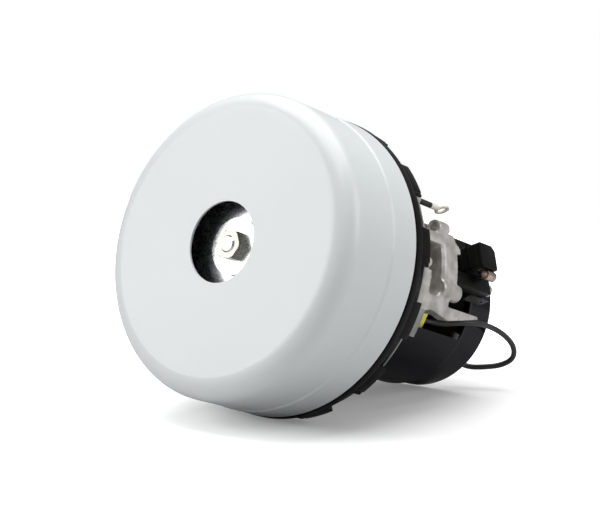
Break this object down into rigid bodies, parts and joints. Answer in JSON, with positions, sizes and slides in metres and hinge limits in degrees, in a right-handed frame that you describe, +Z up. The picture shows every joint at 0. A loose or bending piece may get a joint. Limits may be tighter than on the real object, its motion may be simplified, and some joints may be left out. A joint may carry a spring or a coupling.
{
  "type": "vacuum motor unit",
  "caption": "Bypass vacuum motor: pale painted fan drum with a central inlet, black vented ring, cast bracket, black motor cover, brush gear and leads.",
  "frame": {"origin": "centre of the inlet eye, in the plane of the fan drum's flat face", "axes": "+Y along the shaft from the inlet to the rear of the motor, +Z up, +X out through the side that carries the right brush box"},
  "size_m": [0.1466, 0.1856, 0.1466],
  "materials": {
    "shroud_paint": "satin pale grey",
    "stage_sheet": "mill",
    "black_moulding": "fine texture",
    "seal_rubber": "matt",
    "galvanised_sheet": "galvanised",
    "zinc_steel": "zinc plated",
    "cast_aluminium": "as cast",
    "bearing_steel": "ground",
    "core_steel": "laminated",
    "enamelled_wire": "enamel",
    "yellow_film": "film",
    "cover_gloss": "gloss black",
    "lead_sleeve": "satin",
    "grey_clip": "matt",
    "tinned_copper": "tinned",
    "impeller_sheet": "mill",
    "copper_bars": "copper",
    "fan_moulding": "matt",
    "brass_tube": "mill",
    "carbon": "carbon",
    "spring_steel": "drawn"
  },
  "bodies": {
    "housing": {"fan_shroud": "shroud_paint", "stage_diffuser": "stage_sheet", "stage_separator": "stage_sheet", "discharge_ring": "black_moulding", "shaft_seal": "seal_rubber", "end_plate": "galvanised_sheet", "plate_screws": "zinc_steel", "fan_end_bracket": "cast_aluminium", "front_bearing_outer": "bearing_steel", "stator_core": "core_steel", "stator_screws": "zinc_steel", "field_coil_upper": "enamelled_wire", "field_coil_lower": "enamelled_wire", "coil_insulation": "yellow_film", "commutator_bracket": "black_moulding", "bracket_screws": "zinc_steel", "rear_bearing_outer": "bearing_steel", "motor_cover": "cover_gloss", "cover_screws": "zinc_steel", "main_lead": "lead_sleeve", "lead_splice": "lead_sleeve", "lead_grommet": "seal_rubber", "lead_clip": "grey_clip", "earth_lead": "lead_sleeve", "ring_terminal": "tinned_copper", "brush_box_right": "black_moulding", "brush_tube_right": "brass_tube", "brush_cap_right": "black_moulding", "brush_terminal_right": "copper_bars", "spade_tab_right": "tinned_copper", "brush_spring_right": "spring_steel", "brush_box_left": "black_moulding", "brush_tube_left": "brass_tube", "brush_cap_left": "black_moulding", "brush_terminal_left": "copper_bars", "spade_tab_left": "tinned_copper", "brush_spring_left": "spring_steel"},
    "rotor": {"shaft": "bearing_steel", "lock_nut": "zinc_steel", "clamp_washer": "zinc_steel", "impeller_first": "impeller_sheet", "impeller_spacer": "bearing_steel", "impeller_second": "impeller_sheet", "bearing_spacer": "bearing_steel", "front_bearing_inner": "bearing_steel", "armature_core": "core_steel", "armature_winding": "enamelled_wire", "commutator": "copper_bars", "commutator_hub": "black_moulding", "rear_bearing_inner": "bearing_steel", "cooling_fan": "fan_moulding", "fan_nut": "zinc_steel"},
    "brush_right": {"carbon_brush_right": "carbon"},
    "brush_left": {"carbon_brush_left": "carbon"}
  },
  "joints": [
    {"name": "rotor_spin", "type": "hinge", "parent": "housing", "child": "rotor", "pos_m": [0, 0.0645, 0], "axis": [0, 1, 0], "continuous": true},
    {"name": "brush_right_slide", "type": "slide", "parent": "housing", "child": "brush_right", "axis": [0.9205, 0, 0.3907], "range_m": [0, 0.006], "stiffness_N_per_m": 150, "springref_m": -0.02, "deforming": ["brush_spring_right"]},
    {"name": "brush_left_slide", "type": "slide", "parent": "housing", "child": "brush_left", "axis": [-0.9205, 0, -0.3907], "range_m": [0, 0.006], "stiffness_N_per_m": 150, "springref_m": -0.02, "deforming": ["brush_spring_left"]}
  ]
}
